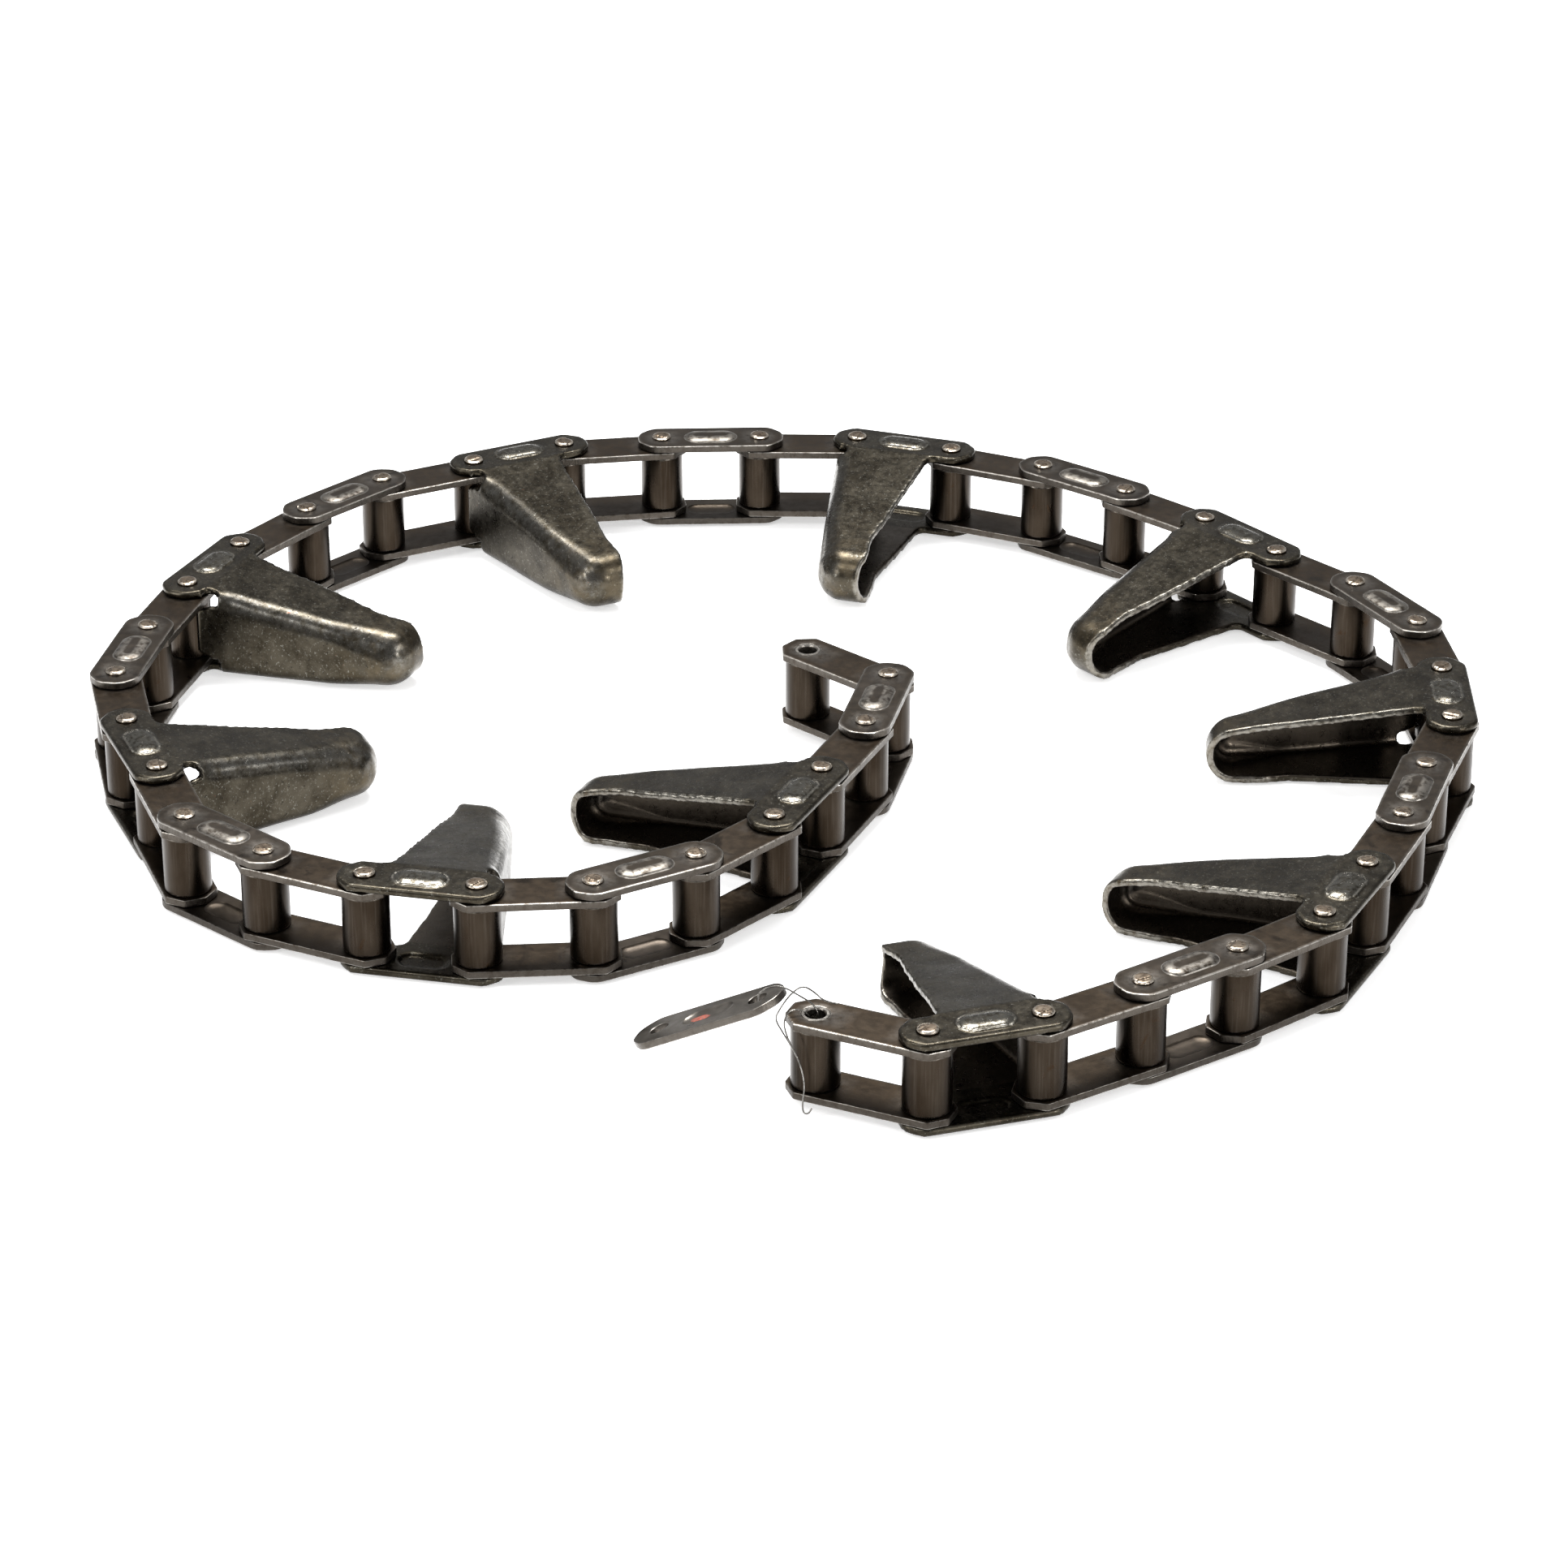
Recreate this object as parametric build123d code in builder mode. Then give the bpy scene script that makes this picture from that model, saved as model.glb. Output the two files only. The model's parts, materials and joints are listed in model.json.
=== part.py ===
from build123d import *
from math import cos, radians, sin, tan
import os

# Heavy roller chain with pressed gathering fingers, laid on its side in one open coil.
# Millimetres, +Z up, pins upright. The origin is on the floor under the middle of the coil.

# --- chain, driving dimensions ---
pitch = 42.01
link_count = 41
roller_d = 17.7
inner_width = 24.5
pin_d = 7.16
bush_d = 10.2
plate_height = 20.0
plate_t = 2.9
plate_end_cut = 5.85
inner_corner_r = 2.0
outer_corner_r = 7.0
side_gap = 0.3
pin_clearance = 0.05
roller_clearance = 0.08
rivet_h = 1.4
rivet_d = 7.9
rivet_round = 0.5
edge_break = 0.4

# --- embossed pads on the outer plates ---
pad_h = 1.3
pad_length = 22.5
pad_width = 11.5
finger_pad_length = 20.5
finger_pad_width = 11.0
pad_shoulder = 0.9
recess_depth = 1.1
recess_inset = 0.8

# --- gathering finger ---
finger_reach = 92.5
finger_slope = 10.5
finger_nose_r = 11.0
finger_bend_r = 4.5
finger_root_closed = -5.9
finger_root_open = 34.8
finger_tip_closed = 10.6
finger_tip_open = 27.5
finger_wall_start = 13.5
relief_r = 3.3
relief_at = (-4.0, -12.6)
root_fillet_r = 3.0
lower_edge = [(31.0, -10.0), (27.3, -60.0), (29.4, -71.0)]
tongue_end = 6.2
tongue_z = (8.0, 11.2, 29.2, 31.6)
tongue_clearance = 0.4

# --- spare side plate and the wire that ties it on, from the outer free bush ---
spare_hole_r = 3.65
spare_heading = -21.6
spare_pitch_up = 28.2
spare_near_hole = (-20.3, 7.6, 36.6)
wire_d = 0.6
tie_strand = [
    (-1.4, -12.7, 4.2), (-2.2, -12.9, 2.2), (-4.2, -12.9, 2.2), (-4.7, -12.6, 5.8),
    (-3.6, -12.2, 13.6), (-5.6, -11.6, 22.6), (-9.8, -8.2, 29.6), (-11.4, -4.4, 34.4),
    (-8.6, -1.4, 37.4), (-4.0, -0.4, 36.4), (-1.7, 0.2, 32.8), (-1.3, 0.5, 29.4),
    (1.3, 0.7, 29.4), (1.2, 0.9, 33.0), (-0.4, 1.8, 37.4), (-5.2, 3.6, 39.6),
    (-12.0, 5.4, 43.0), (-17.8, 7.0, 41.2), (-20.6, 7.9, 36.8), (-19.6, 8.0, 32.0),
]
loop_strand = [
    (-6.6, 10.8, 10.6), (-8.4, 9.8, 16.0), (-11.4, 8.0, 22.6), (-14.2, 6.6, 28.8),
    (-12.6, 4.0, 34.0), (-9.0, 3.6, 40.2), (-4.6, 2.8, 44.6), (-0.2, 1.8, 42.2),
    (2.8, 1.2, 39.0), (7.6, 0.4, 38.4),
]

# --- lay of the coil: heading of each link, in degrees from +X ---
headings = [
    -42, -103, -114, -115, -133, -151, -176, 168, 155, 139, 110, 112, 102, 79,
    74, 65, 54, 46, 26, 26, 8, 2, -1, -18, -24, -37, -42, -50, -46, -60, -83,
    -91, -110, -108, -114, -117, -142, -146, -148, -163, 156,
]
first_pin = (11.3, 51.1)

# --- heights ---
outer_bottom = rivet_h
inner_bottom = outer_bottom + plate_t + side_gap
inner_floor = inner_bottom + plate_t
inner_ceiling = inner_floor + inner_width
inner_top = inner_ceiling + plate_t
outer_ceiling = inner_top + side_gap
outer_top = outer_ceiling + plate_t
chain_height = outer_top + rivet_h
bush_bore_r = pin_d / 2 + pin_clearance
half_height = plate_height / 2

os.makedirs("parts", exist_ok=True)


def lay_pins():
    """Centre of every pin, walking the chain link by link."""
    points = [Vector(first_pin[0], first_pin[1], 0)]
    for heading in headings:
        step = Vector(cos(radians(heading)), sin(radians(heading)), 0) * pitch
        points.append(points[-1] + step)
    return points


pins = lay_pins()


def link_frame(number):
    """Place of a link: origin on its first pin, X towards its second."""
    start = pins[number - 1]
    return Location((start.X, start.Y, 0), (0, 0, headings[number - 1]))


def plate_outline(corner_r):
    """Oblong whose ends are cut at 45 degrees, with the corners rounded."""
    with BuildSketch() as outline:
        with Locations((pitch / 2, 0)):
            Rectangle(pitch + plate_height, plate_height)
        chamfer(outline.vertices(), plate_end_cut)
        fillet(outline.vertices(), corner_r)
    return outline.sketch


def inner_plate(z):
    """Plain oblong plate, bored for its two bushes."""
    outline = plate_outline(inner_corner_r)
    with BuildPart() as plate:
        with BuildSketch(Plane.XY.offset(z)):
            add(outline)
            with Locations((0, 0), (pitch, 0)):
                Circle(bush_d / 2, mode=Mode.SUBTRACT)
        extrude(amount=plate_t)
        rims = plate.faces().sort_by(Axis.Z)[0].outer_wire().edges()
        rims += plate.faces().sort_by(Axis.Z)[-1].outer_wire().edges()
        chamfer(rims, edge_break)
    return plate.part


def bush(at):
    with BuildPart() as tube:
        with BuildSketch(Plane.XY.offset(inner_bottom)):
            with Locations((at, 0)):
                Circle(bush_d / 2)
                Circle(bush_bore_r, mode=Mode.SUBTRACT)
        extrude(amount=inner_top - inner_bottom)
    return tube.part


def roller(at):
    with BuildPart() as drum:
        with BuildSketch(Plane.XY.offset(inner_floor + side_gap)):
            with Locations((at, 0)):
                Circle(roller_d / 2)
                Circle(bush_d / 2 + roller_clearance, mode=Mode.SUBTRACT)
        extrude(amount=inner_width - 2 * side_gap)
        chamfer(drum.edges().filter_by(GeomType.CIRCLE).group_by(SortBy.RADIUS)[-1], edge_break)
    return drum.part


def pin(at):
    """Pin with a peened head beyond each outer plate."""
    with BuildPart() as rivet:
        with BuildSketch(Plane.XY):
            with Locations((at, 0)):
                Circle(pin_d / 2)
        extrude(amount=chain_height)
        with BuildSketch(Plane.XY, Plane.XY.offset(outer_top)):
            with Locations((at, 0)):
                Circle(rivet_d / 2)
        extrude(amount=rivet_h)
        rims = rivet.edges().filter_by(GeomType.CIRCLE).group_by(Axis.Z)
        fillet(rims[0] + rims[-1], rivet_round)
    return rivet.part


def outer_plate(z, hole_r, length, width, broken_edge):
    """Oblong plate with an embossed pad raised on its upper face."""
    outline = plate_outline(outer_corner_r)
    with BuildPart() as plate:
        with BuildSketch(Plane.XY.offset(z)):
            add(outline)
            with Locations((0, 0), (pitch, 0)):
                Circle(hole_r, mode=Mode.SUBTRACT)
        extrude(amount=plate_t)
        if broken_edge:
            rims = plate.faces().sort_by(Axis.Z)[0].outer_wire().edges()
            rims += plate.faces().sort_by(Axis.Z)[-1].outer_wire().edges()
            chamfer(rims, edge_break)
        with BuildSketch(Plane.XY.offset(z + plate_t)):
            with Locations((pitch / 2, 0)):
                SlotOverall(length, width)
        extrude(amount=pad_h)
        fillet(plate.faces().sort_by(Axis.Z)[-1].edges(), pad_shoulder)
        with BuildSketch(Plane.XY.offset(z)):
            with Locations((pitch / 2, 0)):
                SlotOverall(length - 2 * recess_inset, width - 2 * recess_inset)
        extrude(amount=recess_depth, mode=Mode.SUBTRACT)
    return plate.part


def underside(part):
    """The same plate turned over, for the bottom of the link."""
    return part.mirror(Plane.XY.offset(chain_height / 2))


def finger_volume(inset, overrun):
    """Wedge with a half-round nose. Inset and overrun make the hollow inside it."""
    top = outer_top - inset
    floor = outer_bottom + inset
    tip = inset - finger_reach
    fall = tan(radians(finger_slope))
    lean = (finger_tip_closed - finger_root_closed) / (finger_reach - half_height)
    taper = (finger_root_open - finger_tip_open) / (finger_reach - half_height)
    root_closed = finger_root_closed + inset - lean * half_height
    root_open = finger_root_open + overrun + taper * half_height
    with BuildPart() as wedge:
        with BuildSketch(Plane.YZ.offset(-pitch)) as side:
            with BuildLine():
                Polyline(
                    (0, floor), (tip, floor), (tip, top + fall * (tip + half_height)),
                    (0, top + fall * half_height), close=True,
                )
            make_face()
            fillet(side.vertices().group_by(Axis.X)[0], finger_nose_r - inset)
        extrude(amount=3 * pitch)
        with BuildSketch():
            with BuildLine():
                Polyline(
                    (root_closed, 0),
                    (root_closed + lean * finger_reach, -finger_reach),
                    (root_open - taper * finger_reach, -finger_reach),
                    (root_open, 0),
                    close=True,
                )
            make_face()
        extrude(amount=chain_height + half_height, mode=Mode.INTERSECT)
        closed_side = wedge.faces().sort_by(Axis.X)[0]
        seam = closed_side.edges().filter_by(lambda edge: edge.center().Y < -1)
        fillet(seam, finger_bend_r - inset)
    return wedge.part


def wall_tongue(shell):
    """Root of the closed wall, reaching in between the inner plates and hollowed for the roller."""
    low, low_end, high_end, high = tongue_z
    overlap = finger_wall_start + plate_t
    with BuildPart() as tongue:
        with BuildSketch(Plane.YZ.offset(2 * finger_root_closed)):
            with BuildLine():
                Polyline(
                    (-overlap, low), (-finger_wall_start, low), (-tongue_end, low_end),
                    (-tongue_end, high_end), (-finger_wall_start, high), (-overlap, high),
                    close=True,
                )
            make_face()
        extrude(amount=-2 * finger_root_closed)
        add(shell, mode=Mode.INTERSECT)
        with BuildSketch():
            Circle(roller_d / 2 + tongue_clearance)
        extrude(amount=chain_height, mode=Mode.SUBTRACT)
    return tongue.part


def root_web(corner, z):
    """Rounded inner corner where an outer plate runs into the finger's open side."""
    with BuildPart() as web:
        with BuildSketch(Plane.XY.offset(z)):
            with Locations((corner - plate_t, 1 - half_height)):
                Rectangle(plate_t + root_fillet_r, 1 + root_fillet_r, align=(Align.MIN, Align.MAX))
            with Locations((corner + root_fillet_r, -half_height - root_fillet_r)):
                Circle(root_fillet_r, mode=Mode.SUBTRACT)
        extrude(amount=2 * plate_t + rivet_h)
        add(finger_volume(0, half_height), mode=Mode.INTERSECT)
        add(finger_volume(plate_t, pitch), mode=Mode.SUBTRACT)
    return web.part


def finger_pressing():
    """One pressing: top and bottom outer plates joined by the hollow finger."""
    with BuildPart() as shell:
        add(finger_volume(0, 0))
        add(finger_volume(plate_t, pitch), mode=Mode.SUBTRACT)
    upper = outer_plate(
        outer_ceiling, pin_d / 2, finger_pad_length, finger_pad_width, False
    )
    lower = underside(upper)
    tongue = wall_tongue(shell.part)
    low, _, _, high = tongue_z
    with BuildPart() as pressing:
        add(shell.part)
        with BuildSketch(Plane.XY.offset(outer_bottom + plate_t)):
            with Locations((finger_root_closed + finger_bend_r / 2, 0)):
                Rectangle(2 * finger_bend_r, 2 * finger_wall_start)
        extrude(amount=outer_ceiling - outer_bottom - plate_t, mode=Mode.SUBTRACT)
        with BuildSketch():
            with Locations((pitch / 2, 0)):
                SlotCenterToCenter(pitch, plate_height - 1)
        extrude(amount=2 * chain_height, mode=Mode.SUBTRACT)
        with BuildSketch():
            with BuildLine():
                Polyline(
                    *lower_edge, (pitch + half_height, lower_edge[-1][1]),
                    (pitch + half_height, -half_height), close=True,
                )
            make_face()
        extrude(amount=outer_bottom + plate_t, mode=Mode.SUBTRACT)
        add(upper)
        add(lower)
        with BuildSketch(Plane.XY, Plane.XY.offset(high)):
            with Locations(relief_at):
                Circle(relief_r)
        extrude(amount=low, mode=Mode.SUBTRACT)
        add(tongue)
        add(root_web(finger_root_open, outer_ceiling - plate_t))
        add(root_web(lower_edge[0][0], 0))
    return pressing.part


def spare_plate():
    """Connecting-link side plate hanging in the wire, its hollow side up."""
    heading = radians(spare_heading)
    rise = radians(spare_pitch_up)
    along = Vector(cos(heading) * cos(rise), sin(heading) * cos(rise), sin(rise))
    normal = Vector(-cos(heading) * sin(rise), -sin(heading) * sin(rise), cos(rise))
    near_hole = pins[-1] + Vector(*spare_near_hole)
    place = Plane(near_hole - along * pitch, x_dir=along, z_dir=normal)
    flat = outer_plate(0, spare_hole_r, pad_length, pad_width, True)
    return place.location * flat.mirror(Plane.XY)


def wire(offsets):
    """Straight runs joined by tangent arcs, each as large as its two runs allow."""
    route = [pins[-1] + Vector(*offset) for offset in offsets]
    runs = [after - before for before, after in zip(route, route[1:])]
    radii = []
    for before, after in zip(runs, runs[1:]):
        turn = radians(before.get_angle(after))
        shorter = min(before.length, after.length)
        radii.append(0.45 * shorter / tan(turn / 2))
    with BuildPart() as strand:
        with BuildLine() as line:
            FilletPolyline(*route, radius=radii)
        with BuildSketch(Plane(line.line @ 0, z_dir=line.line % 0)):
            Circle(wire_d / 2)
        sweep()
    return strand.part


def save(name, solids, place=Location()):
    """Write one node: a single solid, or a group of separate solids."""
    node = Compound(label=name, children=[place * solid for solid in solids])
    export_step(node, f"parts/{name}.step")


upper_inner = inner_plate(inner_ceiling)
lower_inner = inner_plate(inner_bottom)
upper_outer = outer_plate(outer_ceiling, pin_d / 2, pad_length, pad_width, True)
lower_outer = underside(upper_outer)
pressing = finger_pressing()
bush_a = bush(0)
bush_b = bush(pitch)
roller_a = roller(0)
roller_b = roller(pitch)
pin_a = pin(0)
pin_b = pin(pitch)

for number in range(1, link_count + 1):
    name = f"link_{number:02d}"
    place = link_frame(number)
    if number in (1, link_count):
        save(f"{name}_top_plate", [upper_inner], place)
        save(f"{name}_bottom_plate", [lower_inner], place)
        save(f"{name}_bush_a", [bush_a], place)
        save(f"{name}_bush_b", [bush_b], place)
        save(f"{name}_roller_a", [roller_a], place)
        save(f"{name}_roller_b", [roller_b], place)
    elif number == 3:
        save(f"{name}_inner", [upper_inner, lower_inner, bush_a, bush_b], place)
        save(f"{name}_roller_a", [roller_a], place)
        save(f"{name}_roller_b", [roller_b], place)
    elif number % 2:
        inner = [upper_inner, lower_inner, bush_a, bush_b, roller_a, roller_b]
        save(f"{name}_inner", inner, place)
    elif number == 2:
        save(f"{name}_top_plate", [upper_outer], place)
        save(f"{name}_bottom_plate", [lower_outer], place)
        save(f"{name}_pin_a", [pin_a], place)
        save(f"{name}_pin_b", [pin_b], place)
    elif number == 4:
        save(f"{name}_finger", [pressing], place)
        save(f"{name}_pin_a", [pin_a], place)
        save(f"{name}_pin_b", [pin_b], place)
    elif number % 4 == 0:
        save(f"{name}_finger", [pressing, pin_a, pin_b], place)
    else:
        save(f"{name}_plain", [upper_outer, lower_outer, pin_a, pin_b], place)

save("spare_side_plate", [spare_plate()])
save("tie_wire", [wire(tie_strand), wire(loop_strand)])
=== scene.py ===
import json
import math
import random

import bpy
import numpy as np
from mathutils import Matrix, Vector, noise
from mathutils.geometry import delaunay_2d_cdt

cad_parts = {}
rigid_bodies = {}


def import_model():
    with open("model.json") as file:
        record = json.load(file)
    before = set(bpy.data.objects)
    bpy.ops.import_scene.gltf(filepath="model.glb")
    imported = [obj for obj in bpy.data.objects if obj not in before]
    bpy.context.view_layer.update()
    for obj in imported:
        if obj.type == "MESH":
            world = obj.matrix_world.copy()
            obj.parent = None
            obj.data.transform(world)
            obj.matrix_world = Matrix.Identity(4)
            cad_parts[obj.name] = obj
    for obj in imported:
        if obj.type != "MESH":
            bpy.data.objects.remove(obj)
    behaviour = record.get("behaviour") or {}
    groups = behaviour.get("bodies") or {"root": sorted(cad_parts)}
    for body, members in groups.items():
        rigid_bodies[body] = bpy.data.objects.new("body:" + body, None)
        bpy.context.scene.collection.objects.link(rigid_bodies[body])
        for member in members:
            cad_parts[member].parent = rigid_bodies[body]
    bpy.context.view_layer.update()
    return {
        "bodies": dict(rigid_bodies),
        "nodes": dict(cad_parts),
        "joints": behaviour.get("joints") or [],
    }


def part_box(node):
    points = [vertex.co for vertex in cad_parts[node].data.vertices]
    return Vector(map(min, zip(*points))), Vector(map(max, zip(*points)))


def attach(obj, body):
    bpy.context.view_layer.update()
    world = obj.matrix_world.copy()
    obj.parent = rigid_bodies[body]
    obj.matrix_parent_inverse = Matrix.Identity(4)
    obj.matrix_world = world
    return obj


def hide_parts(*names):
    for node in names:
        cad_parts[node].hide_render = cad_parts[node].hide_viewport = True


# Looks of the roller chain: every plate, bush, roller, pin and finger as a detailed piece.
# Pieces are built in their link's own frame, in millimetres, and placed by the CAD joints.

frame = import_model()

MM = 0.001
LINKS = 41

# --- the chain's own sizes, in millimetres ---
PITCH = 42.01
HALF_HEIGHT = 10.0
PLATE_HALF_LENGTH = 31
PLATE_T = 2.9
END_CUT = 5.85
INNER_CORNER = 2.0
OUTER_CORNER = 7.0
SIDE_GAP = 0.3
RIVET_H = 1.4
RIVET_R = 3.95
PIN_R = 3.58
BUSH_R = 5.1
BUSH_BORE_R = 3.63
ROLLER_R = 8.85
ROLLER_BORE_R = 5.18
INNER_WIDTH = 24.5
OUTER_BOTTOM = RIVET_H
INNER_BOTTOM = OUTER_BOTTOM + PLATE_T + SIDE_GAP
INNER_FLOOR = INNER_BOTTOM + PLATE_T
INNER_CEILING = INNER_FLOOR + INNER_WIDTH
INNER_TOP = INNER_CEILING + PLATE_T
OUTER_CEILING = INNER_TOP + SIDE_GAP
OUTER_TOP = OUTER_CEILING + PLATE_T
CHAIN_HEIGHT = OUTER_TOP + RIVET_H

PAD_LENGTH = 22.5
PAD_WIDTH = 11.5
PAD_H = 1.3
PAD_STEP = 0.2
PAD_DOME = 3.8
FINGER_PAD_LENGTH = 20.5
FINGER_PAD_WIDTH = 11.0
FINGER_REACH = 92.5
FINGER_FALL = math.tan(math.radians(10.5))
FINGER_BEND_R = 4.5
FINGER_CLOSED = -5.9
FINGER_LEAN = 0.2
FINGER_OPEN = 34.8
FINGER_TAPER = 0.0885
NOSE_R = 11.0
PAD_RECESS_INSET = 0.8
PAD_RECESS_DEPTH = 1.1
# painted highlight: how strongly the pad's rim is lightened, through the wear mask
PAD_RIM_HIGHLIGHT = 0.75
NO_PAD = -99.0
FAR_IN = 9.0
EDGE_ROUND = 0.38
SPARE_HOLE_R = 3.65

# --- how the visual finger departs from the CAD's mean one ---
BEND_TOP_R = 7.5
NOSE_TOP_R = 10.9
NOSE_LOW_R = 10.0
FLARE_AT, FLARE_SPAN, FLARE = 85, 7.5, 1.9
WAIST_AT, WAIST_SPAN, WAIST = 69, 9, 0.4
VOXEL = 0.72

# --- places of the pins and links, from the CAD joints ---
joint_at = {j["name"]: Vector(j["pos_m"]) for j in frame["joints"]}


def middle(node):
    low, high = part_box(node)
    return (low + high) / 2


pins = [middle("link_01_bush_a")]
pins += [joint_at[f"pin_{k:02d}_hinge"] for k in range(1, LINKS)]
pins += [middle("link_41_bush_b")]
pins = [Vector((p.x, p.y, 0)) for p in pins]


def link_place(number):
    """Matrix from a link's own frame to the scene's, both in metres."""
    start, end = pins[number - 1], pins[number]
    heading = math.atan2(end.y - start.y, end.x - start.x)
    return Matrix.Translation(start) @ Matrix.Rotation(heading, 4, "Z")


# --- shader helpers ---
class Shader:
    """A node material with one Principled shader and shared object coordinates."""

    def __init__(self, name):
        self.material = bpy.data.materials.new(name)
        self.material.use_nodes = True
        self.tree = self.material.node_tree
        self.tree.nodes.clear()
        self.surface = self.add("ShaderNodeBsdfPrincipled")
        output = self.add("ShaderNodeOutputMaterial")
        self.link(self.surface.outputs["BSDF"], output.inputs["Surface"])
        # a random shift gives every piece its own part of the noise
        coordinates = self.add("ShaderNodeTexCoord")
        piece = self.add("ShaderNodeObjectInfo")
        spread = self.add("ShaderNodeVectorMath", operation="SCALE")
        spread.inputs[0].default_value = (1.7, 2.9, 4.3)
        self.link(piece.outputs["Random"], spread.inputs["Scale"])
        moved = self.add("ShaderNodeVectorMath", operation="ADD")
        self.link(coordinates.outputs["Object"], moved.inputs[0])
        self.link(spread.outputs["Vector"], moved.inputs[1])
        self.place = moved.outputs["Vector"]

    def add(self, kind, **settings):
        node = self.tree.nodes.new(kind)
        for key, value in settings.items():
            setattr(node, key, value)
        return node

    def link(self, source, target):
        self.tree.links.new(source, target)

    def noise(self, size_mm, detail=4.0, rough=0.55, stretch=(1, 1, 1), warp=0.0):
        """Noise whose blotches are about size_mm across."""
        scaled = self.add("ShaderNodeVectorMath", operation="MULTIPLY")
        scaled.inputs[1].default_value = [1 / (size_mm * MM * s) for s in stretch]
        self.link(self.place, scaled.inputs[0])
        node = self.add("ShaderNodeTexNoise")
        node.inputs["Scale"].default_value = 1.0
        node.inputs["Detail"].default_value = detail
        node.inputs["Roughness"].default_value = rough
        node.inputs["Distortion"].default_value = warp
        self.link(scaled.outputs["Vector"], node.inputs["Vector"])
        return node.outputs["Fac"]

    def ramp(self, value, low, high, start=0.0, end=1.0):
        node = self.add("ShaderNodeMapRange", interpolation_type="SMOOTHSTEP")
        node.inputs["From Min"].default_value = low
        node.inputs["From Max"].default_value = high
        node.inputs["To Min"].default_value = start
        node.inputs["To Max"].default_value = end
        self.link(value, node.inputs["Value"])
        return node.outputs["Result"]

    def math(self, operation, first, second):
        node = self.add("ShaderNodeMath", operation=operation)
        node.use_clamp = operation in ("ADD", "SUBTRACT")
        for socket, value in zip(node.inputs, (first, second)):
            if isinstance(value, (int, float)):
                socket.default_value = value
            else:
                self.link(value, socket)
        return node.outputs["Value"]

    def attribute(self, name):
        return self.add("ShaderNodeAttribute", attribute_name=name).outputs["Fac"]

    def pointiness(self):
        return self.add("ShaderNodeNewGeometry").outputs["Pointiness"]

    def mix(self, factor, first, second):
        """Colour mix; first and second are colours or sockets."""
        node = self.add("ShaderNodeMix", data_type="RGBA")
        self.link(factor, node.inputs["Factor"])
        for socket, value in ((node.inputs[6], first), (node.inputs[7], second)):
            if isinstance(value, tuple):
                socket.default_value = (*value, 1.0)
            else:
                self.link(value, socket)
        return node.outputs[2]

    def blend(self, factor, first, second):
        """Number mix."""
        node = self.add("ShaderNodeMix", data_type="FLOAT")
        self.link(factor, node.inputs["Factor"])
        for socket, value in ((node.inputs[2], first), (node.inputs[3], second)):
            if isinstance(value, (int, float)):
                socket.default_value = value
            else:
                self.link(value, socket)
        return node.outputs[0]

    def bump(self, heights):
        """Chain of bumps: (height socket, depth in mm)."""
        normal = None
        for height, depth in heights:
            node = self.add("ShaderNodeBump")
            node.inputs["Strength"].default_value = 1.0
            node.inputs["Distance"].default_value = depth * MM
            self.link(height, node.inputs["Height"])
            if normal is not None:
                self.link(normal, node.inputs["Normal"])
            normal = node.outputs["Normal"]
        self.link(normal, self.surface.inputs["Normal"])

    def finish(self, colour, roughness, metallic=1.0):
        self.link(colour, self.surface.inputs["Base Color"])
        self.link(roughness, self.surface.inputs["Roughness"])
        self.surface.inputs["Metallic"].default_value = metallic
        return self.material


def plate_steel(name, dark, light, smear):
    """Smooth rolled plate under an oil film, rubbed bright along its sheared rims; the pad is lightened as
    polished wear and painted highlight, and its rim as a painted highlight.
    """
    s = Shader(name)
    blotch = s.ramp(s.noise(17, 4, 0.5, warp=0.4), 0.30, 0.72)
    grain = s.noise(0.8, 3, 0.6)
    colour = s.mix(blotch, dark, light)
    oil = s.ramp(s.noise(smear, 4, 0.55, warp=1.0), 0.58, 0.72)
    colour = s.mix(s.math("MULTIPLY", oil, 0.45), colour, (0.022, 0.015, 0.010))
    scratch = s.ramp(s.noise(1.0, 3, 0.6, stretch=(10, 0.3, 1)), 0.64, 0.74)
    colour = s.mix(s.math("MULTIPLY", scratch, 0.14), colour, (0.20, 0.18, 0.16))
    broken = s.ramp(s.noise(2.4, 5, 0.7), 0.28, 0.58)
    wear = s.math("MULTIPLY", s.attribute("wear"), broken)
    sheared = s.math("MULTIPLY", s.attribute("side"), 0.8)
    colour = s.mix(sheared, colour, (0.046, 0.039, 0.032))
    # painted highlight: the pad is lightened, partly as polished wear and partly standing in for the
    # highlight on its dome
    pad_rub_and_highlight = s.math("MULTIPLY", s.attribute("pad"), s.ramp(s.noise(2.6, 4, 0.6), 0.32, 0.58))
    colour = s.mix(s.math("MULTIPLY", pad_rub_and_highlight, 0.60), colour, (0.28, 0.26, 0.23))
    # the wear mask lightens the sheared rims as real wear and the pad's rim as a painted highlight
    colour = s.mix(s.math("MULTIPLY", wear, 0.8), colour, (0.40, 0.38, 0.35))
    rough = s.ramp(s.noise(3.5, 4, 0.55), 0.3, 0.75, 0.34, 0.46)
    rough = s.blend(oil, rough, 0.26)
    rough = s.blend(wear, rough, 0.30)
    tear = s.noise(0.8, 4, 0.7, stretch=(1, 1, 4))
    s.bump([
        (s.noise(6.0, 3, 0.5), 0.05),
        (grain, 0.015),
        (s.math("MULTIPLY", tear, s.attribute("side")), 0.20),
    ])
    return s.finish(colour, rough)


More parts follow.
